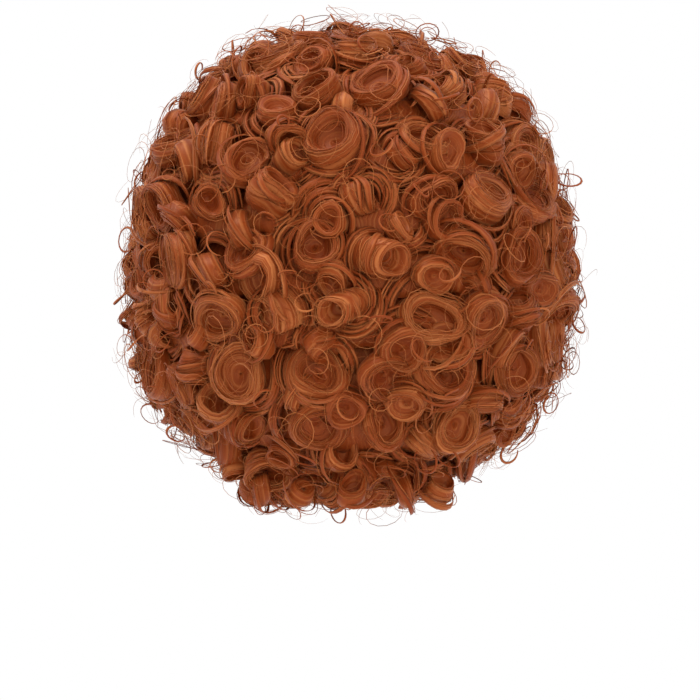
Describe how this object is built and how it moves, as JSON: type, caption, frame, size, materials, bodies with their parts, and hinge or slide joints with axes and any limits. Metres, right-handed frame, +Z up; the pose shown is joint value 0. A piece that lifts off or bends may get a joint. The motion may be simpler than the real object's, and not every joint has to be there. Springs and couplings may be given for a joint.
{
  "type": "short curly wig",
  "caption": "Short auburn wig: rows of rolled curls sewn as wefts round a hollow net cap that is open for the face and neck.",
  "frame": {"origin": "the inside of the cap's crown, where it sits on top of a head", "axes": "+Z up through the crown, -Y towards the wearer's face, +X to the wearer's left"},
  "size_m": [0.2716, 0.274, 0.2892],
  "materials": {
    "hair": "satin auburn synthetic hair in rolled curls",
    "cap_net": "dark brown elastic net with sewn weft tracks"
  },
  "bodies": {
    "root": {"cap": "cap_net", "crown_hair": "hair", "top_weft_1": "hair", "top_weft_2": "hair", "fringe_weft": "hair", "temple_weft": "hair", "back_weft_1": "hair", "back_weft_2": "hair", "back_weft_3": "hair", "back_weft_4": "hair", "back_weft_5": "hair", "nape_weft": "hair"}
  },
  "joints": []
}
